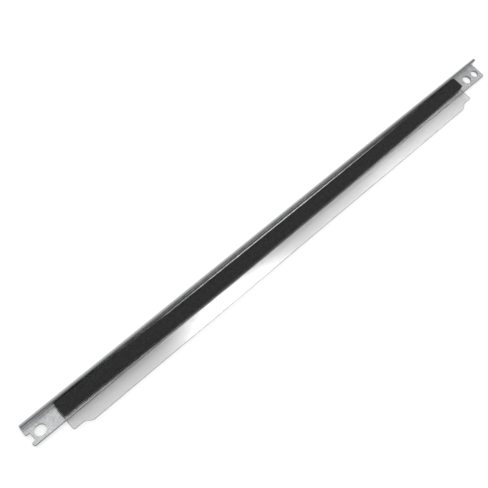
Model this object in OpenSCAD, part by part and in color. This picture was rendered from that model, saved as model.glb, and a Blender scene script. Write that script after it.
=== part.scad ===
// Doctor blade for a printing cartridge: a bent steel bracket, a clear blade film and a foam seal strip.
// Lengths are in millimetres. X runs along the blade, Y from the blade's free edge to the flange, Z up.
// The origin is the middle of the bracket's underside.

/* [Bracket] */
// Length of the bracket from end to end
bracket_len = 250; // [200:1:360]
// Depth of the bracket from its front edge to the back of the flange
bracket_d = 8.2; // [7.6:0.1:14]
// Height of the flange above the underside
flange_h = 4.8; // [3:0.1:10]
// Thickness of the steel sheet
sheet_t = 1.2; // [0.6:0.05:1.6]
// Radius on the inside of the bend
bend_r = 0.4; // [0.2:0.05:0.8]
// Rounding of the flat's outer corners
corner_r = 0.35; // [0.1:0.05:0.6]

/* [Notched end] */
// Length of the single fixing slot along the bracket
slot_len = 4.5; // [4.3:0.1:5.8]
// Width of the single fixing slot across the bracket
slot_w = 3.7; // [3:0.1:4.2]
// Steel left between the slot and the front edge
slot_rim = 1.25; // [0.8:0.05:1.6]
// Steel left between the slot and the bottom of the notch
slot_web = 1; // [0.8:0.05:2]
// Width of the open notch across the bracket
notch_w = 3.2; // [2:0.1:4]
// Depth of the open notch along the bracket
notch_deep = 1.6; // [1:0.05:3]
// Rounding of the notch's inner corners
notch_r = 0.45; // [0.2:0.05:0.6]
// Width of the prong in front of the notch
prong_w = 1.5; // [1:0.05:2.2]

/* [Paired holes] */
// Diameter of the hole nearer the foam
wide_hole_dia = 4; // [3:0.1:4.8]
// Diameter of the hole nearer the end
slim_hole_dia = 3.4; // [2.4:0.1:4]
// Steel left between the slim hole and the end of the bracket
slim_hole_rim = 1.25; // [0.8:0.05:2]
// Steel left between the two holes
pair_web = 1.75; // [0.8:0.05:2]
// Distance of both hole centres from the front edge
pair_in = 3.3; // [3:0.1:3.6]

/* [Blade film] */
// Bare length of the bracket at the notched end
bare_notched = 13.1; // [11:0.1:24]
// Bare length of the bracket at the paired holes
bare_paired = 15.3; // [14.5:0.1:24]
// Distance the film reaches out past the front edge
film_reach = 6.2; // [4:0.1:12]
// Width of the film that is stuck down on the flat
film_seat = 4.6; // [3:0.1:5]
// Thickness of the film with its adhesive
film_t = 0.2; // [0.1:0.01:0.3]
// Length of the narrower tab at each end of the film
tab_len = 4; // [2:0.1:10]
// Distance the tab's edge is set back from the blade's edge
step_deep = 1.75; // [0.6:0.05:2.6]
// Length of the curve that joins the tab to the blade's edge
step_len = 3.8; // [2.8:0.1:8]
// Rounding of the tab's corner at the notched end
tab_r_notched = 0.8; // [0.2:0.05:1]
// Rounding of the tab's corner at the paired holes
tab_r_paired = 0.3; // [0.2:0.05:1]

/* [Foam strip] */
// Height of the foam above the film
foam_h = 3; // [1:0.1:5]
// Length by which the film shows past each end of the foam
foam_in = 0.5; // [0.2:0.05:3]
// Distance the back edge of the strip bows away from the flange in the middle
foam_bow = 1.15; // [0.2:0.05:1.8]
// Distance the front edge of the strip draws back from the middle to the ends
foam_sweep = 1.43; // [0.4:0.01:1.8]
// Distance the front edge's notched end lies forward of its other end
foam_skew = 0.4; // [0:0.05:0.5]
// Gap between the foam and the flange where the strip lies closest
foam_touch = 0.03; // [0.01:0.01:0.3]
// Steel and film left bare in front of the foam where the strip bows most
foam_front = 0.02; // [0.02:0.01:0.6]

/* [Hidden] */
$fn = 96;
// Sampled stations along the bowed foam strip
foam_n = 48;
// Sampled stations along the curve at each end of the film
step_n = 20;
// Overlap that carries each cutter clear of the faces it cuts
over = 1;

x_notched = -bracket_len / 2;
x_paired = bracket_len / 2;
y_front = -bracket_d / 2;
y_back = bracket_d / 2;
// Inner face of the flange
y_flange = y_back - sheet_t;
// Radius on the outside of the bend
bend_out_r = bend_r + sheet_t;
// Axis of the bend
y_bend = y_flange - bend_r;
z_bend = sheet_t + bend_r;

x_slot = x_notched + notch_deep + slot_web + slot_len / 2;
y_slot = y_front + slot_rim + slot_w / 2;
x_slim = x_paired - slim_hole_rim - slim_hole_dia / 2;
x_wide = x_slim - slim_hole_dia / 2 - pair_web - wide_hole_dia / 2;
y_pair = y_front + pair_in;

x_film_0 = x_notched + bare_notched;
x_film_1 = x_paired - bare_paired;
film_len = x_film_1 - x_film_0;
y_edge = y_front - film_reach;
z_film = sheet_t;
film_w = film_reach + film_seat;

x_foam_0 = x_film_0 + foam_in;
x_foam_1 = x_film_1 - foam_in;
z_foam = sheet_t + film_t;
// Reach of the bend's inner radius at the foam's underside
bend_bite = film_t < bend_r ? bend_r - sqrt(pow(bend_r, 2) - pow(bend_r - film_t, 2)) : 0;
y_foam = y_flange - bend_bite - foam_touch;

// Cross-section of the bent sheet in the plane of Y and Z
module bracket_profile() {
    difference() {
        translate([y_front, 0])
            square([bracket_d, flange_h]);
        // Open side of the angle, with the inside radius of the bend
        translate([y_front - over, sheet_t])
            square([y_bend - y_front + over, flange_h]);
        translate([y_front - over, z_bend])
            square([y_flange - y_front + over, flange_h]);
        translate([y_bend, z_bend])
            circle(r = bend_r);
        // Outside radius of the bend
        difference() {
            translate([y_bend, -over])
                square([bend_out_r + over, z_bend + over]);
            translate([y_bend, z_bend])
                circle(r = bend_out_r);
        }
    }
}

// Waste outside a rounded corner whose tip is at the local origin and whose sides run along +X and +Y
module corner_waste(r) {
    difference() {
        translate([-over, -over])
            square([r + over, r + over]);
        translate([r, r])
            circle(r = r);
    }
}

// Open notch, with its mouth towards -X and its bottom corners rounded
module notch_plan() {
    translate([-over, 0])
        square([notch_deep - notch_r + over, notch_w]);
    translate([-over, notch_r])
        square([notch_deep + over, notch_w - 2 * notch_r]);
    translate([notch_deep - notch_r, notch_r])
        circle(r = notch_r);
    translate([notch_deep - notch_r, notch_w - notch_r])
        circle(r = notch_r);
}

// Slot with round ends, centred on the local origin and running along X
module slot_plan() {
    square([slot_len - slot_w, slot_w], center = true);
    for (side = [-1, 1])
        translate([side * (slot_len - slot_w) / 2, 0])
            circle(d = slot_w);
}

// Everything punched out of the flat, seen from above
module punch_plan() {
    translate([x_slot, y_slot])
        slot_plan();
    translate([x_wide, y_pair])
        circle(d = wide_hole_dia);
    translate([x_slim, y_pair])
        circle(d = slim_hole_dia);
    translate([x_notched, y_front + prong_w])
        notch_plan();
    // Rounded tips of the prong and the free corner at the paired holes
    translate([x_notched, y_front])
        corner_waste(prong_w / 2);
    translate([x_notched, y_front + prong_w])
        mirror([0, 1])
            corner_waste(corner_r);
    translate([x_notched, y_front + prong_w + notch_w])
        corner_waste(corner_r);
    translate([x_paired, y_front])
        mirror([1, 0])
            corner_waste(corner_r);
}

// Bent and punched steel sheet
module bracket() {
    color([0.74, 0.75, 0.76])
    difference() {
        translate([x_notched, 0, 0])
            rotate([90, 0, 90])
                linear_extrude(height = bracket_len)
                    bracket_profile();
        translate([0, 0, -over])
            linear_extrude(height = sheet_t + 2 * over)
                punch_plan();
    }
}

// Place along the curve from 0 at the tab to 1 at the blade's edge: distance in from the film's end, and
// distance in from the blade's edge, eased so that the curve runs smoothly into both
function step_x(k) = tab_len + step_len * k;
function step_y(k) = step_deep * (1 + cos(180 * k)) / 2;

// Outline of the film, with one end at the local Y axis and the blade's edge along the local X axis
module film_plan() {
    difference() {
        polygon(concat(
            [[0, film_w], [0, step_deep]],
            [for (i = [0 : step_n]) [step_x(i / step_n), step_y(i / step_n)]],
            [for (i = [step_n : -1 : 0]) [film_len - step_x(i / step_n), step_y(i / step_n)]],
            [[film_len, step_deep], [film_len, film_w]]
        ));
        translate([0, step_deep])
            corner_waste(tab_r_notched);
        translate([film_len, step_deep])
            mirror([1, 0])
                corner_waste(tab_r_paired);
    }
}

// Clear film, stuck on the flat and stepped in at both ends of its free edge
module blade_film() {
    color([0.86, 0.89, 0.9, 0.45])
    translate([x_film_0, y_edge, z_film])
        linear_extrude(height = film_t)
            film_plan();
}

// Place along the strip from 0 to 1, and the back and front edges of the foam there
function foam_x(u) = x_foam_0 + (x_foam_1 - x_foam_0) * u;
function foam_back(u) = y_foam - foam_bow * sin(180 * u);
function foam_fore(u) = y_front + foam_front + foam_sweep * (1 - sin(180 * u)) + foam_skew * (u - 0.5);

// Foam strip laid by hand along the film, bowed away from the flange in the middle and pressed a little narrower
// against it at the ends
module foam_strip() {
    color([0.09, 0.09, 0.09])
    translate([0, 0, z_foam])
        linear_extrude(height = foam_h)
            polygon(concat(
                [for (i = [0 : foam_n]) [foam_x(i / foam_n), foam_fore(i / foam_n)]],
                [for (i = [foam_n : -1 : 0]) [foam_x(i / foam_n), foam_back(i / foam_n)]]
            ));
}

bracket();
blade_film();
foam_strip();
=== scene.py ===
# %% [markdown]
# # A doctor blade, dressed for its photograph
# The object is a long strip of zinc-plated sheet steel, bent to an L. A thin clear
# film is glued on its flat, and a strip of black foam is glued on top of the film.
# The solids come ready made from CAD, in metres, with X along the blade, the upright
# flange at +Y and the film reaching out to -Y. Nothing here moves them. This first
# cell loads them.
# Sizes are written in millimetres, as on a drawing, and turned to metres with MM.

import math

import bpy
import numpy as np
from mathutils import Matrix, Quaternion, Vector


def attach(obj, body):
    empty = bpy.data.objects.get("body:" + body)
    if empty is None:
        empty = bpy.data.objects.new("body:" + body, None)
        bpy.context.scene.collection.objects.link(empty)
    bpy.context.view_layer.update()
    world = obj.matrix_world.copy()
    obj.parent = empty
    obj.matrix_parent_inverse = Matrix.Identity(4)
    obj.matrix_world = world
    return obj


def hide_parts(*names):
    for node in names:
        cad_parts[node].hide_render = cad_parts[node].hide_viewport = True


MM = 0.001


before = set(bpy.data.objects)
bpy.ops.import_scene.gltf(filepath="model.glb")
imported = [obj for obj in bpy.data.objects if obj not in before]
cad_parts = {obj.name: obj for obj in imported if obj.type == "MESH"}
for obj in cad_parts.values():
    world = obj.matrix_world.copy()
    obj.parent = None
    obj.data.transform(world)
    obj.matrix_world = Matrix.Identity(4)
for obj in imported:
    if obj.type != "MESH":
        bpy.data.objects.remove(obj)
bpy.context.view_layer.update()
print("solids:", sorted(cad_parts))

# %% [markdown]
# ## Colours
# Colours are written as sRGB hex values, the way a picture editor shows them. Shaders
# work in linear light, so one function turns the hex values round.


# %% Hex to linear light
def linear(hex_colour):
    """sRGB hex to linear red, green, blue, alpha. Each channel c, from 0 to 1, is
    c / 12.92 up to 0.04045, and ((c + 0.055) / 1.055) to the power 2.4 above it."""
    c = np.array([int(hex_colour[i : i + 2], 16) for i in (1, 3, 5)]) / 255
    light = np.where(c <= 0.04045, c / 12.92, ((c + 0.055) / 1.055) ** 2.4)
    return (*light.tolist(), 1.0)


WHITE = linear("#FFFFFF")
print("mid grey #808080 is", round(linear("#808080")[0], 3), "in linear light")

# %% [markdown]
# ## Nodes
# A material is a small graph of nodes. Adding a node always takes the same steps: make
# it, set its options, then fill its inputs, either with a plain value or with a link
# from another node. One function does that for every kind of node. A second one starts
# a material, and a third sets the two stops of a colour ramp.


# %% Add one node
def add_node(tree, kind, inputs=None, **settings):
    """Adds a node, gives it its settings, and fills the inputs by name or number: an
    output socket is linked, and any other value is set on the input itself."""
    node = tree.nodes.new(kind)
    for name, value in settings.items():
        setattr(node, name, value)
    for name, value in (inputs or {}).items():
        if isinstance(value, bpy.types.NodeSocket):
            tree.links.new(value, node.inputs[name])
        else:
            node.inputs[name].default_value = value
    return node


def empty_tree(name):
    """A new material with no nodes in it, and its node tree."""
    material = bpy.data.materials.new(name)
    material.use_nodes = True
    material.node_tree.nodes.clear()
    return material, material.node_tree


def set_stops(ramp, *stops):
    """Gives a ramp's two stops their place, from 0 to 1, and their colour."""
    for element, (position, hex_colour) in zip(ramp.color_ramp.elements, stops):
        element.position = position
        element.color = linear(hex_colour)


print("helpers ready")

# %% [markdown]
# ## The camera
# The blade lies across the picture from lower left to upper right, and its left end is
# nearer. A camera could be turned by eye, but a blade this long and thin shows every
# degree. So its place was worked out from the corners and holes that can be told apart
# in the picture: it stands above and to the left, looks down by about 63 degrees, and
# is rolled by 20 degrees about its own line of sight.

# %% Place the camera
eye = Vector((-148.94, -65.94, 293.14)) * MM
aim = Vector((-18.34, 4.80, 1.20)) * MM
roll = math.radians(19.80)

lens = bpy.data.cameras.new("camera")
lens.sensor_width = 36.0
lens.lens = 62.49
lens.clip_start = 10 * MM
camera = bpy.data.objects.new("camera", lens)
bpy.context.scene.collection.objects.link(camera)
camera.location = eye
camera.rotation_mode = "QUATERNION"
level_view = (aim - eye).to_track_quat("-Z", "Y")
camera.rotation_quaternion = level_view @ Quaternion((0, 0, 1), roll)
bpy.context.scene.camera = camera
print("camera", round((aim - eye).length / MM, 1), "mm from the blade")

# %% [markdown]
# ## The white table
# The picture has a plain white ground. More light would burn the steel out, so the
# white comes from the table itself: where it is seen bare, or in a mirror, its matt
# paint has some glow, and the light that falls on the object has none of it. The matt
# part still takes the object's soft shadow. Further off, where the lamps no longer
# reach, the table fades to plain white, so it has no grey horizon. Under the film the
# picture keeps a deeper shadow, so there the paint shows without the glow.

# %% Make the table
table_half = 3.0
unit_square = np.array([(-1, -1, 0), (1, -1, 0), (1, 1, 0), (-1, 1, 0)])
table_mesh = bpy.data.meshes.new("table")
table_mesh.from_pydata((table_half * unit_square).tolist(), [], [(0, 1, 2, 3)])
table = bpy.data.objects.new("table", table_mesh)
bpy.context.scene.collection.objects.link(table)
print("table", 2 * table_half, "m wide")


# %% Tell seen rays from light
def seen_rays(tree):
    """The light path node, and a mask that is 1 where the surface is seen, straight or
    in a mirror or through glass, and 0 where it only lights something else. The mask
    is the largest of three of the node's outputs."""
    path = add_node(tree, "ShaderNodeLightPath")
    seen = path.outputs["Is Camera Ray"]
    for ray in ("Is Glossy Ray", "Is Transmission Ray"):
        largest = add_node(
            tree, "ShaderNodeMath",
            {0: seen, 1: path.outputs[ray]},
            operation="MAXIMUM",
        )
        seen = largest.outputs[0]
    return path, seen


print("mask ready")

# %% Find where the table is seen bare
paint, tree = empty_tree("matt_white_paint")
path, seen = seen_rays(tree)
# A ray that came through the film has passed at least one transparent face. The depth
# counts such faces, so half a face parts none from one.
no_film = add_node(
    tree, "ShaderNodeMath",
    {0: path.outputs["Transparent Depth"], 1: 0.5},
    operation="LESS_THAN",
)
seen_bare = add_node(
    tree, "ShaderNodeMath",
    {0: seen, 1: no_film.outputs[0]},
    operation="MULTIPLY",
)
print("the film's faces are counted by", path.outputs["Transparent Depth"].name)

# %% Paint the table
paint_glow = 0.18
# Near the blade plain white has this share of the table, and far away it has all of it.
# The share grows between these two distances from the blade's middle, in metres.
white_share, fade_near, fade_far = 0.42, 0.3, 0.9

matt = add_node(tree, "ShaderNodeBsdfDiffuse", {"Color": linear("#FCFCFC")})
glow = add_node(tree, "ShaderNodeEmission", {"Color": WHITE, "Strength": paint_glow})
both = add_node(tree, "ShaderNodeAddShader", {0: matt.outputs[0], 1: glow.outputs[0]})
plain = add_node(tree, "ShaderNodeEmission", {"Color": WHITE, "Strength": 1.0})
place = add_node(tree, "ShaderNodeTexCoord").outputs["Object"]
away = add_node(tree, "ShaderNodeVectorMath", {0: place}, operation="LENGTH")
fade = add_node(
    tree, "ShaderNodeMapRange",
    {
        "Value": away.outputs["Value"],
        "From Min": fade_near,
        "From Max": fade_far,
        "To Min": white_share,
    },
)
ground = add_node(
    tree, "ShaderNodeMixShader",
    {0: fade.outputs[0], 1: both.outputs[0], 2: plain.outputs[0]},
)
shown = add_node(
    tree, "ShaderNodeMixShader",
    {0: seen_bare.outputs[0], 1: matt.outputs[0], 2: ground.outputs[0]},
)
add_node(tree, "ShaderNodeOutputMaterial", {"Surface": shown.outputs[0]})
table_mesh.materials.append(paint)
print("table finish:", paint.name)

# %% [markdown]
# ## The light
# The shadows in the picture are short and soft, and fall towards the film, so the main
# light is a wide one above and behind the flange. A faint one stands in front, and the
# rest comes from a white room all round. Together they send about as much light to the
# blade as a white sheet needs to look white, so that each colour shows about as it is
# written below. These lamps are large and dim: the zinc half mirrors them, and a small
# bright lamp would burn it out from some side.

# %% White room
room_fill = 0.48

world = bpy.data.worlds.new("white_room")
bpy.context.scene.world = world
world.use_nodes = True
tree = world.node_tree
tree.nodes.clear()
_, seen = seen_rays(tree)
fill = add_node(
    tree, "ShaderNodeBackground", {"Color": WHITE, "Strength": room_fill}
)
plain = add_node(tree, "ShaderNodeBackground", {"Color": WHITE, "Strength": 1.0})
shown = add_node(
    tree, "ShaderNodeMixShader",
    {0: seen, 1: fill.outputs[0], 2: plain.outputs[0]},
)
add_node(tree, "ShaderNodeOutputWorld", {"Surface": shown.outputs[0]})
print("room sends", room_fill, "and looks 1.0")


# %% Main light and front light
def soft_box(name, place, size, radiance, target=None, shape="RECTANGLE", turn=0.0):
    """A flat lamp that faces its target, or straight down where it has none. Its power
    is pi times its area times the radiance, which is how bright its face looks, with 1
    as white. Places and sizes are in metres."""
    place = Vector(place)
    target = Vector((place.x, place.y, 0) if target is None else target)
    lamp = bpy.data.lights.new(name, "AREA")
    lamp.shape = shape
    lamp.size, lamp.size_y = size
    area = size[0] * size[1] * (math.pi / 4 if shape == "ELLIPSE" else 1)
    lamp.energy = math.pi * area * radiance
    box = bpy.data.objects.new(name, lamp)
    bpy.context.scene.collection.objects.link(box)
    box.location = place
    facing = (target - place).to_track_quat("-Z", "Y")
    box.rotation_euler = (facing @ Quaternion((0, 0, 1), turn)).to_euler()
    box.visible_camera = False
    print(name, round(lamp.energy, 2), "W")
    return box


blade_middle = (0, 0, 0)
soft_box(
    "main_light",
    place=(-0.20, 0.80, 0.95), size=(1.5, 1.0), radiance=1.95, target=blade_middle,
)
soft_box(
    "front_light",
    place=(0.00, -0.80, 0.50), size=(1.2, 0.5), radiance=0.2, target=blade_middle,
)

# %% [markdown]
# The film is glossy, and in the picture part of it mirrors a lamp and burns out to
# white. A flat film works like a mirror, so the place of that lamp follows from the
# camera: the line from the camera to the film goes on upwards at the same slope. A
# small bright lamp hangs there, and a long dimmer one gives the sheen to its right.
# Further down they are linked to the film alone, so that they don't burn out the steel.

# %% Lamps that the film mirrors
film_top = 1.4 * MM
lamp_height = 0.60


def mirrored_at(x, y):
    """The point at lamp height that the camera sees in the film at (x, y), given in
    millimetres: the step from the camera to the film, carried on by the lamp's height
    over the camera's own height."""
    spot = Vector((x * MM, y * MM, film_top))
    step = spot - eye
    share = lamp_height / -step.z
    return Vector(
        (spot.x + step.x * share, spot.y + step.y * share, film_top + lamp_height)
    )


glint = soft_box(
    "film_glint",
    place=mirrored_at(-38, -9.2), size=(0.136, 0.056), radiance=26.0,
    shape="ELLIPSE", turn=math.radians(-12),
)
sheen_left, sheen_right = mirrored_at(-66, -7.5), mirrored_at(96, -7.5)
sheen_forward = Vector((0, -0.05, 0))
sheen = soft_box(
    "film_sheen",
    place=(sheen_left + sheen_right) / 2 + sheen_forward,
    size=((sheen_right - sheen_left).length, 0.10), radiance=7.0,
)

# %% [markdown]
# Three more lamps are there for the steel: one over the front, a panel that the bare
# left end mirrors, and a low strip. The strip hangs straight over the narrow gap between
# the foam and the flange, because only light from there reaches the bottom of the gap,
# which the flange's inner face mirrors. It is linked to the steel alone, so that it
# doesn't grey the foam.

# %% Lamps for the steel
soft_box(
    "over_front",
    place=(0.42, -0.16, lamp_height), size=(0.68, 0.44), radiance=1.2,
)
soft_box(
    "left_panel",
    place=mirrored_at(-118, -0.5), size=(0.20, 0.16), radiance=0.7,
)
gap_strip = soft_box(
    "gap_strip",
    place=(0, -0.004, 0.075), size=(0.20, 0.012), radiance=4.8,
)

# %% [markdown]
# ## The steel bracket
# The bracket is cold-rolled sheet with a thin coat of zinc, sheared to length, punched
# and bent. Its CAD shape is right, so it stays and only gets its finish. A press leaves
# no knife-sharp corner, though: the punch pulls the rim down a little. So a small bevel
# rounds the edges. The mesh comes as loose triangles, which are first welded, and the
# flat ones joined, so that the bevel meets clean edges.

# %% Round the pressed edges
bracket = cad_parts["bracket"]
weld = bracket.modifiers.new("weld", "WELD")
weld.merge_threshold = 0.002 * MM
join = bracket.modifiers.new("join_flats", "DECIMATE")
join.decimate_type = "DISSOLVE"
join.angle_limit = math.radians(0.5)
pulled_rim = bracket.modifiers.new("pulled_down_rim", "BEVEL")
pulled_rim.width = 0.12 * MM
pulled_rim.segments = 2
pulled_rim.limit_method = "ANGLE"
pulled_rim.angle_limit = math.radians(40)
pulled_rim.loop_slide = False
pulled_rim.use_clamp_overlap = False
print("bracket:", len(bracket.data.polygons), "triangles")
print("edges rounded by", round(pulled_rim.width / MM, 3), "mm")

# %% [markdown]
# ## The zinc
# Zinc on rolled sheet is a light grey with a low shine. Its fine crystals scatter about
# half of the light like pale paint and mirror the rest, so the metal share is about a
# half. The eye sees a soft mottle of crystals, wider clouds, faint lines along the
# rolling direction and a few hair scratches from handling.

# %% Crystals, clouds and rolling lines
crystal_size, cloud_size = 0.5 * MM, 4 * MM
# Rolling lines are about 0.05 mm wide on real sheet. They are drawn 0.25 mm wide and
# 20 mm long, which is as fine as shows at this distance.
line_length, line_width = 20 * MM, 0.25 * MM
cloud_share, line_share = 0.45, 0.12

zinc, tree = empty_tree("zinc_plated_rolled_steel")
place = add_node(tree, "ShaderNodeTexCoord").outputs["Object"]
crystals = add_node(
    tree, "ShaderNodeTexNoise",
    {"Vector": place, "Scale": 1 / crystal_size, "Detail": 3.0, "Roughness": 0.65},
)
clouds = add_node(
    tree, "ShaderNodeTexNoise",
    {"Vector": place, "Scale": 1 / cloud_size, "Detail": 4.0, "Roughness": 0.6},
)
mottle = add_node(
    tree, "ShaderNodeMix",
    {0: cloud_share, 2: crystals.outputs[0], 3: clouds.outputs[0]},
    data_type="FLOAT",
)
along = add_node(
    tree, "ShaderNodeMapping",
    {"Vector": place, "Scale": (1 / line_length, 1 / line_width, 1 / line_width)},
)
lines = add_node(
    tree, "ShaderNodeTexNoise",
    {"Vector": along.outputs[0], "Scale": 1.0, "Detail": 2.0, "Roughness": 0.5},
)
tone = add_node(
    tree, "ShaderNodeMix",
    {0: line_share, 2: mottle.outputs[0], 3: lines.outputs[0]},
    data_type="FLOAT",
)
# The noise stays mostly between these two levels.
tone_low, tone_high = 0.35, 0.65
coat = add_node(tree, "ShaderNodeValToRGB", {0: tone.outputs[0]})
set_stops(coat, (tone_low, "#929394"), (tone_high, "#BFC0C1"))
print("zinc: crystals", crystal_size / MM, "mm, clouds", cloud_size / MM, "mm")

# %% Hair scratches
# A scratch is the thin line where a long stretched noise crosses its middle level. It
# is drawn about 0.1 mm wide.
middle_level = 0.5
scratch_stretch = (1 / (22 * MM), 1 / (2.2 * MM), 1 / (2.2 * MM))
scratch_turn = math.radians(12)
scratch_level, scratch_strength = 0.012, 0.35

drawn = add_node(
    tree, "ShaderNodeMapping",
    {"Vector": place, "Scale": scratch_stretch, "Rotation": (0, 0, scratch_turn)},
)
sweep = add_node(
    tree, "ShaderNodeTexNoise",
    {"Vector": drawn.outputs[0], "Scale": 1.0, "Detail": 1.0, "Roughness": 0.4},
)
off = add_node(
    tree, "ShaderNodeMath", {0: sweep.outputs[0], 1: middle_level}, operation="SUBTRACT"
)
near_line = add_node(tree, "ShaderNodeMath", {0: off.outputs[0]}, operation="ABSOLUTE")
scratch = add_node(
    tree, "ShaderNodeMapRange",
    {
        "Value": near_line.outputs[0],
        "From Min": 0.0,
        "From Max": scratch_level,
        "To Min": scratch_strength,
        "To Max": 0.0,
    },
)
scuffed = add_node(
    tree, "ShaderNodeMix",
    {0: scratch.outputs[0], 6: coat.outputs[0], 7: linear("#D8D9DA")},
    data_type="RGBA",
)
print("scratches lighten the zinc by up to", scratch_strength)

# %% [markdown]
# ## The sheared edges
# The sheared edges and the walls of the holes have no zinc. They show bare steel, which
# is darker and duller. A sheared wall is any wall that faces neither up, nor down, nor
# across the flange, and the top of the flange is one too. The walls of the holes are a
# lighter grey. The long front edge is painted dark, which is painted shade for the shadow
# under the film's root. The flange's top has a torn, darker band on the inside and a
# lighter band on the outside, which is partly the shear's burnish and partly a painted
# highlight along the outer top edge.

# %% Find the sheared faces
flange_foot, flange_crest = 2.4 * MM, 4.7 * MM
# A face looks along an axis when its normal has more than this share of it.
mostly = 0.5

geometry = add_node(tree, "ShaderNodeNewGeometry")
normal = add_node(tree, "ShaderNodeSeparateXYZ", {0: geometry.outputs["True Normal"]})
where = add_node(tree, "ShaderNodeSeparateXYZ", {0: place})
end_on = add_node(tree, "ShaderNodeMath", {0: normal.outputs["X"]}, operation="ABSOLUTE")
end_wall = add_node(
    tree, "ShaderNodeMath", {0: end_on.outputs[0], 1: mostly}, operation="GREATER_THAN"
)
tilt = add_node(tree, "ShaderNodeMath", {0: normal.outputs["Z"]}, operation="ABSOLUTE")
upright = add_node(
    tree, "ShaderNodeMath", {0: tilt.outputs[0], 1: mostly}, operation="LESS_THAN"
)
before_flange = add_node(
    tree, "ShaderNodeMath",
    {0: where.outputs["Y"], 1: flange_foot},
    operation="LESS_THAN",
)
flat_wall = add_node(
    tree, "ShaderNodeMath",
    {0: upright.outputs[0], 1: before_flange.outputs[0]},
    operation="MULTIPLY",
)
walls = add_node(
    tree, "ShaderNodeMath",
    {0: end_wall.outputs[0], 1: flat_wall.outputs[0]},
    operation="MAXIMUM",
)
flange_top = add_node(
    tree, "ShaderNodeMath",
    {0: where.outputs["Z"], 1: flange_crest},
    operation="GREATER_THAN",
)
sheared = add_node(
    tree, "ShaderNodeMath",
    {0: walls.outputs[0], 1: flange_top.outputs[0]},
    operation="MAXIMUM",
)
print("sheared: ends, holes, front edge and all above", flange_crest / MM, "mm")

# %% Colour the sheared faces
torn_until, burnish_and_highlight_from = 3.1 * MM, 3.9 * MM
front_edge = -3.9 * MM

# The outer band is lighter: partly the shear's burnish, partly a painted highlight on the
# flange's outer top edge.
burnish_and_highlight_share = add_node(
    tree, "ShaderNodeMapRange",
    {"Value": where.outputs["Y"], "From Min": torn_until, "From Max": burnish_and_highlight_from},
)
torn_and_highlit_top = add_node(
    tree, "ShaderNodeMix",
    {0: burnish_and_highlight_share.outputs[0], 6: linear("#4A4B4C"), 7: linear("#A0A1A2")},
    data_type="RGBA",
)
# The long front edge gets a dark grey: painted shade, for the shadow under the film's
# root.
front_in_painted_shade = add_node(
    tree, "ShaderNodeMath",
    {0: where.outputs["Y"], 1: front_edge},
    operation="LESS_THAN",
)
# Hole walls take the lighter grey, and the front edge takes the painted shade.
hole_walls_and_painted_front_shade = add_node(
    tree, "ShaderNodeMix",
    {0: front_in_painted_shade.outputs[0], 6: linear("#949596"), 7: linear("#404142")},
    data_type="RGBA",
)
bare_steel = add_node(
    tree, "ShaderNodeMix",
    {0: flange_top.outputs[0], 6: hole_walls_and_painted_front_shade.outputs[2], 7: torn_and_highlit_top.outputs[2]},
    data_type="RGBA",
)
colour = add_node(
    tree, "ShaderNodeMix",
    {0: sheared.outputs[0], 6: scuffed.outputs[2], 7: bare_steel.outputs[2]},
    data_type="RGBA",
)
print("front edge dark, holes light, flange top in two bands")

# %% Zinc-plated rolled steel
metal_share = 0.5
# Pale crystals are the smoother ones, and sheared steel is the roughest.
rough_dark, rough_pale, rough_sheared = 0.27, 0.20, 0.55
relief_height, relief_strength = 0.02 * MM, 0.15

satin = add_node(
    tree, "ShaderNodeMapRange",
    {
        "Value": tone.outputs[0],
        "From Min": tone_low,
        "From Max": tone_high,
        "To Min": rough_dark,
        "To Max": rough_pale,
    },
)
dull = add_node(
    tree, "ShaderNodeMix",
    {0: sheared.outputs[0], 2: satin.outputs[0], 3: rough_sheared},
    data_type="FLOAT",
)
relief = add_node(
    tree, "ShaderNodeBump",
    {
        "Height": tone.outputs[0],
        "Strength": relief_strength,
        "Distance": relief_height,
    },
)
steel = add_node(
    tree, "ShaderNodeBsdfPrincipled",
    {
        "Base Color": colour.outputs[2],
        "Metallic": metal_share,
        "Roughness": dull.outputs[0],
        "Normal": relief.outputs[0],
    },
)
add_node(tree, "ShaderNodeOutputMaterial", {"Surface": steel.outputs[0]})
print("steel finish:", zinc.name)

# %% Give the bracket its finish and its lamp
bracket.data.materials.clear()
bracket.data.materials.append(zinc)
lit_by_strip = bpy.data.collections.new("lit_by_gap_strip")
lit_by_strip.objects.link(bracket)
gap_strip.light_linking.receiver_collection = lit_by_strip
print("bracket:", bracket.data.materials[0].name, "lit by", gap_strip.name)

# %% [markdown]
# ## Closed strips
# The film and the foam are both long strips, so one helper builds them: a closed
# profile is carried along the blade, one ring of points for each step. The points come
# as one array, and so do the faces. A cap closes each end.


# %% Skin a row of rings
def skin(name, rings, material):
    """A closed mesh from an array of rings, steps by points by xyz, in millimetres.
    Face (i, j) joins points j and j+1 of ring i to those of ring i+1, counted round
    the ring, and one flat face closes each end ring."""
    steps, count = rings.shape[:2]
    i, j = np.meshgrid(np.arange(steps - 1), np.arange(count), indexing="ij")
    here, beside = i * count + j, i * count + (j + 1) % count
    quads = np.stack([here, beside, beside + count, here + count], axis=-1)
    first, last = np.arange(count)[::-1], (steps - 1) * count + np.arange(count)
    faces = quads.reshape(-1, 4).tolist() + [first.tolist(), last.tolist()]
    mesh = bpy.data.meshes.new(name)
    mesh.from_pydata((rings.reshape(-1, 3) * MM).tolist(), [], faces)
    mesh.materials.append(material)
    piece = bpy.data.objects.new(name, mesh)
    bpy.context.scene.collection.objects.link(piece)
    return piece


print("skin() ready")

# %% [markdown]
# ## The film's shape
# The blade that wipes is a thin polyester film. It is stamped out with a short, narrower
# tab at each end, and a soft S joins the tab to the full width. It is glued flat on the
# steel, and its free part stands out over the edge like a diving board, so it isn't
# quite flat there: it rises and dips by a few hundredths of a millimetre. That hardly
# shows by itself, but it bends what the film mirrors.

# %% The film's outline
film_left, film_right = -111.9, 109.7
film_back, film_free, steel_front = 0.5, -10.3, -4.1
tab_length, step_length, step_depth = 4.0, 3.8, 1.75
corner_left, corner_right = 0.8, 0.3


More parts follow.
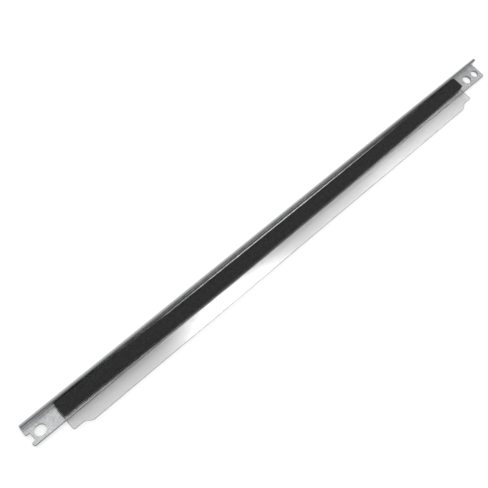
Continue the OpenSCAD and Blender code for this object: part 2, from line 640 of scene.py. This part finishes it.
def film_edge(s, corner_r):
    """Where the free edge is, s millimetres in from an end: a tab that falls short of
    full reach by the step's depth, then half a cosine wave over the step's length out
    to full reach. The tab's corner is a quarter circle of the given radius."""
    ease = np.clip((s - tab_length) / step_length, 0, 1)
    corner = corner_r - np.sqrt(corner_r**2 - np.clip(corner_r - s, 0, corner_r) ** 2)
    return film_free + step_depth * (1 + np.cos(np.pi * ease)) / 2 + corner


# Stations run in from each end: close together round the corner and along the step.
corner_count, tab_count, step_count, long_count = 9, 6, 25, 80
corner_clear, step_end = 0.9, tab_length + step_length
quarter_turn = 1 - np.cos(np.linspace(0, np.pi / 2, corner_count))
inward = np.concatenate(
    [
        np.linspace(corner_clear, tab_length, tab_count),
        np.linspace(tab_length, step_end, step_count)[1:],
        np.linspace(step_end, (film_right - film_left) / 2, long_count)[1:],
    ]
)
from_left = np.concatenate([corner_left * quarter_turn, inward])
from_right = np.concatenate([corner_right * quarter_turn, inward])[::-1][1:]
from_end = np.concatenate([from_left, from_right])
station = np.concatenate([film_left + from_left, film_right - from_right])
free_edge = np.concatenate(
    [film_edge(from_left, corner_left), film_edge(from_right, corner_right)]
)
print("film outline:", len(station), "stations")

# %% Carry the film's section along the blade
# The faces lie 0.005 mm inside the solid, so that none coincides with the steel's.
film_low, film_high = 1.205, 1.395
# Each wave is a rise, a length and a start, in millimetres and radians.
film_waves = ((0.04, 83, 0.6), (0.015, 37, 2.1))


def film_lift(x, y):
    """The free part's rise: two sine waves along the blade, times the square of the
    share of its reach past the steel's edge."""
    out = np.clip((steel_front - y) / (steel_front - film_free), 0, 1) ** 2
    return out * sum(
        rise * np.sin(2 * np.pi * x / length + start)
        for rise, length, start in film_waves
    )


# Points across the film, from 0 at the cut to 1 at the back, are closest at the cut.
across = np.concatenate([[0, 0.012, 0.028, 0.05], np.linspace(0.09, 1, 18)])
film_y = free_edge[:, None] + (film_back - free_edge[:, None]) * across
film_x = np.broadcast_to(station[:, None], film_y.shape)
lift = film_lift(film_x, film_y)
under_face = np.stack([film_x, film_y, film_low + lift], axis=-1)
upper_face = np.stack([film_x, film_y, film_high + lift], axis=-1)
film_rings = np.concatenate([upper_face, under_face[:, ::-1]], axis=1)
print("film", film_rings.shape[0], "sections of", film_rings.shape[1], "points")

# %% [markdown]
# ## The film's finish
# Clear polyester film lets most of the light through unbent, because it is so thin, and
# mirrors about a twentieth of it, more at a glancing angle. So the shader lets light
# pass with a faint grey tint, and adds a slightly soft mirror by Fresnel's law for an
# IOR of 1.6. Only the face that is met first mirrors: met from inside, a flat face that
# doesn't bend the ray would mirror far too much. A stamped edge scatters light and has
# no shine, so it shows as a thin grey line, also where the film burns out. Each point
# carries its distance from the cut, and within 0.3 mm of it a matt grey mixes in.

# %% Find the matt rim of the film
# Both distances from the cut are in millimetres.
matt_within, clear_beyond, matt_most = 0.10, 0.30, 0.65

polyester, tree = empty_tree("clear_polyester_film")
distance = add_node(tree, "ShaderNodeAttribute", attribute_name="from_cut")
near_cut = add_node(
    tree, "ShaderNodeMapRange",
    {
        "Value": distance.outputs["Fac"],
        "From Min": matt_within,
        "From Max": clear_beyond,
        "To Min": 1.0,
        "To Max": 0.0,
    },
)
matt_share = add_node(
    tree, "ShaderNodeMath",
    {0: near_cut.outputs[0], 1: matt_most},
    operation="MULTIPLY",
)
print("matt rim", clear_beyond, "mm wide")

# %% Clear polyester film
film_ior, film_rough = 1.6, 0.15

clear = add_node(tree, "ShaderNodeBsdfTransparent", {"Color": linear("#F5F5F5")})
gloss = add_node(
    tree, "ShaderNodeBsdfGlossy", {"Color": WHITE, "Roughness": film_rough}
)
mirror = add_node(tree, "ShaderNodeFresnel", {"IOR": film_ior})
geometry = add_node(tree, "ShaderNodeNewGeometry")
outside = add_node(
    tree, "ShaderNodeMath",
    {0: 1.0, 1: geometry.outputs["Backfacing"]},
    operation="SUBTRACT",
)
share = add_node(
    tree, "ShaderNodeMath",
    {0: mirror.outputs[0], 1: outside.outputs[0]},
    operation="MULTIPLY",
)
face = add_node(
    tree, "ShaderNodeMixShader",
    {0: share.outputs[0], 1: clear.outputs[0], 2: gloss.outputs[0]},
)
cut = add_node(tree, "ShaderNodeBsdfDiffuse", {"Color": linear("#949494")})
sheet = add_node(
    tree, "ShaderNodeMixShader",
    {0: matt_share.outputs[0], 1: face.outputs[0], 2: cut.outputs[0]},
)
add_node(tree, "ShaderNodeOutputMaterial", {"Surface": sheet.outputs[0]})
print("film finish:", polyester.name)

# %% Make the film and link its lamps
film = skin("film", film_rings, polyester)
lit_by_film_lamps = bpy.data.collections.new("lit_by_film_lamps")
lit_by_film_lamps.objects.link(film)
glint.light_linking.receiver_collection = lit_by_film_lamps
sheen.light_linking.receiver_collection = lit_by_film_lamps
from_cut = np.minimum(film_y - free_edge[:, None], from_end[:, None])
from_cut = np.concatenate([from_cut, from_cut[:, ::-1]], axis=1).astype(np.float32)
cut_attribute = film.data.attributes.new("from_cut", "FLOAT", "POINT")
cut_attribute.data.foreach_set("value", from_cut.ravel())
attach(film, "root")
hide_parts("blade_film")
print("film:", len(film.data.polygons), "faces")

# %% [markdown]
# ## The foam's shape
# The seal is a strip cut from a sheet of open-cell foam and laid on the film by hand,
# so it bows: its ends are pressed against the flange and its middle runs out to the
# steel's front edge. The section is a superellipse, a rectangle with soft corners, with
# a slight crown on top. A cloth simulation would round it like a cushion, which a
# sponge strip isn't, so it is made directly.

# %% The foam's edges and section
foam_left, foam_right = -111.4, 109.2
foam_low, foam_high = 1.41, 4.4
back_at_ends, back_bow, bow_power = 2.81, 1.15, 0.65
front_at_middle, front_sweep, front_skew = -4.075, 1.43, 0.4


def foam_edges(u):
    """The y of the back and front edges at share u of the length. Both follow half a
    sine wave. The back edge leaves the flange by the bow times the wave to a power below
    1, which parts from the flange sooner than the wave itself. The front edge draws back
    by the sweep towards the ends, more at the right end than at the left by the skew."""
    wave = np.clip(np.sin(np.pi * u), 0, 1)
    back = back_at_ends - back_bow * wave**bow_power
    return back, front_at_middle + front_sweep * (1 - wave) + front_skew * (u - 0.5)


def foam_section(count, power=18, crown=0.02, width=5.6, fine=4001):
    """Half-width and half-height shares of a superellipse: the cosine and sine of an
    angle, each to the power 2 / power with its sign kept. The crown lowers the top by its
    share times the square of the half-width share. The curve is drawn with fine points
    and then divided into count equal steps."""
    t = np.linspace(0, 2 * np.pi, fine)
    a = np.sign(np.cos(t)) * np.abs(np.cos(t)) ** (2 / power)
    b = np.sign(np.sin(t)) * np.abs(np.sin(t)) ** (2 / power)
    b = np.where(b > 0, b * (1 - crown * a * a), b)
    pace = np.hypot(np.diff(a) * width, np.diff(b) * (foam_high - foam_low))
    run = np.concatenate([[0], np.cumsum(pace)])
    step = np.linspace(0, run[-1], count, endpoint=False)
    return np.interp(step, run, a), np.interp(step, run, b)


print("foam edges at the middle:", [round(float(y), 3) for y in foam_edges(0.5)])

# %% Carry the foam's section along its bow
section_points, section_count = 60, 700
# Each end face is a set of rings that grow from its middle.
cap_sizes = np.array([0.05, 0.25, 0.45, 0.65, 0.82, 0.94])
caps = len(cap_sizes)

a, b = foam_section(section_points)
u = np.concatenate([np.zeros(caps), np.linspace(0, 1, section_count), np.ones(caps)])
size = np.concatenate([cap_sizes, np.ones(section_count), cap_sizes[::-1]])
back_y, front_y = foam_edges(u)
middle_y, half_width = (back_y + front_y) / 2, (back_y - front_y) / 2
middle_z, half_height = (foam_low + foam_high) / 2, (foam_high - foam_low) / 2
foam_x = foam_left + u * (foam_right - foam_left)
foam_rings = np.stack(
    [
        np.broadcast_to(foam_x[:, None], (len(u), len(a))),
        middle_y[:, None] + (size * half_width)[:, None] * a,
        middle_z + size[:, None] * b * half_height,
    ],
    axis=-1,
)
print("foam", foam_rings.shape[0], "sections of", foam_rings.shape[1], "points")

# %% [markdown]
# The cells make the foam rough, so its skin is pitted with smooth random noise. The pits
# push each point inwards, towards the middle of its section. Two sizes of cell are
# mixed, about 0.9 mm for lumps and 0.45 mm for single cells, and the underside stays
# flat, because it is glued down. The two end faces are pitted along the strip.

# %% Smooth noise
lattice = np.random.default_rng(11).random((700, 32, 32))
lattice_middle = np.array([350, 16, 8])


def pits(points, cell):
    """Smooth noise from 0 to 1: random values on a lattice with this cell, blended over
    the eight corners with weights w * w * (3 - 2 * w) of the place within the cell."""
    grid = points / cell + lattice_middle
    corner = np.floor(grid).astype(int)
    w = grid - corner
    w = w * w * (3 - 2 * w)
    total = 0
    for offset in np.ndindex(2, 2, 2):
        near = corner + np.array(offset)
        value = lattice[near[..., 0], near[..., 1], near[..., 2]]
        total = total + value * np.prod(np.abs(1 - np.array(offset) - w), axis=-1)
    return total


print("lattice of", lattice.size, "values")

# %% Pit the skin
lump, single_cell = 0.9, 0.45
pit_depth, glued_height = 0.07, 0.4

rough = 0.5 * pits(foam_rings, lump) + 0.5 * pits(foam_rings, single_cell)
free = np.clip((foam_rings[..., 2] - foam_low) / glued_height, 0, 1)
depth = pit_depth * rough * free
towards = np.stack(
    [
        np.zeros_like(foam_rings[..., 0]),
        middle_y[:, None] - foam_rings[..., 1],
        middle_z - foam_rings[..., 2],
    ],
    axis=-1,
)
# A point in the middle of its section has no direction and stays.
towards /= np.maximum(np.linalg.norm(towards, axis=-1, keepdims=True), 1e-6)
on_cap = ((u == 0) | (u == 1))[:, None]
foam_rings = foam_rings + towards * depth[..., None] * ~on_cap[..., None]
foam_rings[..., 0] += np.where(on_cap, depth * np.sign(0.5 - u)[:, None], 0)
print("deepest pit", round(float(depth.max()), 3), "mm")

# %% [markdown]
# ## The foam's finish
# Black polyurethane foam is nearly matt: light goes into the open cells and little comes
# back. The eye sees a fine grain, dark in the cells and dark grey on their walls, about
# two cells to the millimetre. The sides get a ramp a little lighter and warmer than the
# top, which is painted light on the sides.

# %% Foam grain
cell_size, dust_size = 0.45 * MM, 1.4 * MM
dust_share = 0.3
grain_low, grain_high = 0.30, 0.70

sponge, tree = empty_tree("black_open_cell_polyurethane_foam")
place = add_node(tree, "ShaderNodeTexCoord").outputs["Object"]
cells = add_node(
    tree, "ShaderNodeTexNoise",
    {"Vector": place, "Scale": 1 / cell_size, "Detail": 3.0, "Roughness": 0.7},
)
dust = add_node(
    tree, "ShaderNodeTexNoise",
    {"Vector": place, "Scale": 1 / dust_size, "Detail": 3.0, "Roughness": 0.6},
)
grain = add_node(
    tree, "ShaderNodeMix",
    {0: dust_share, 2: cells.outputs[0], 3: dust.outputs[0]},
    data_type="FLOAT",
)
top = add_node(tree, "ShaderNodeValToRGB", {0: grain.outputs[0]})
set_stops(top, (grain_low, "#181818"), (grain_high, "#373737"))
# The sides' ramp is lighter than the top's: painted light on the sides.
side_with_painted_light = add_node(tree, "ShaderNodeValToRGB", {0: grain.outputs[0]})
set_stops(side_with_painted_light, (grain_low, "#282826"), (grain_high, "#4A4A46"))
print("grain: cells", cell_size / MM, "mm, dust", dust_size / MM, "mm")

# %% Black open-cell foam
# A face counts as side below the first share of its normal that points up, and as top
# above the second.
side_below, top_above = 0.3, 0.7
cell_relief, cell_strength = 0.15 * MM, 0.5
foam_rough, foam_ior, foam_shine = 0.95, 1.45, 0.2

geometry = add_node(tree, "ShaderNodeNewGeometry")
normal = add_node(tree, "ShaderNodeSeparateXYZ", {0: geometry.outputs["Normal"]})
facing_up = add_node(
    tree, "ShaderNodeMapRange",
    {"Value": normal.outputs["Z"], "From Min": side_below, "From Max": top_above},
)
# Faces that stand up take the lighter side ramp, which is painted light, and faces that
# look up take the top's.
colour = add_node(
    tree, "ShaderNodeMix",
    {0: facing_up.outputs[0], 6: side_with_painted_light.outputs[0], 7: top.outputs[0]},
    data_type="RGBA",
)
relief = add_node(
    tree, "ShaderNodeBump",
    {
        "Height": grain.outputs[0],
        "Strength": cell_strength,
        "Distance": cell_relief,
    },
)
soft = add_node(
    tree, "ShaderNodeBsdfPrincipled",
    {
        "Base Color": colour.outputs[2],
        "Roughness": foam_rough,
        "IOR": foam_ior,
        "Specular IOR Level": foam_shine,
        "Normal": relief.outputs[0],
    },
)
add_node(tree, "ShaderNodeOutputMaterial", {"Surface": soft.outputs[0]})
print("foam finish:", sponge.name)

# %% Make the foam
foam = skin("foam", foam_rings, sponge)
foam.data.polygons.foreach_set("use_smooth", np.ones(len(foam.data.polygons), bool))
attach(foam, "root")
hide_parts("foam_strip")
print("foam:", len(foam.data.polygons), "faces")

# %% [markdown]
# ## Colour as written
# The Standard view shows a colour as its hex value says.

# %% Finish
bpy.context.scene.view_settings.view_transform = "Standard"
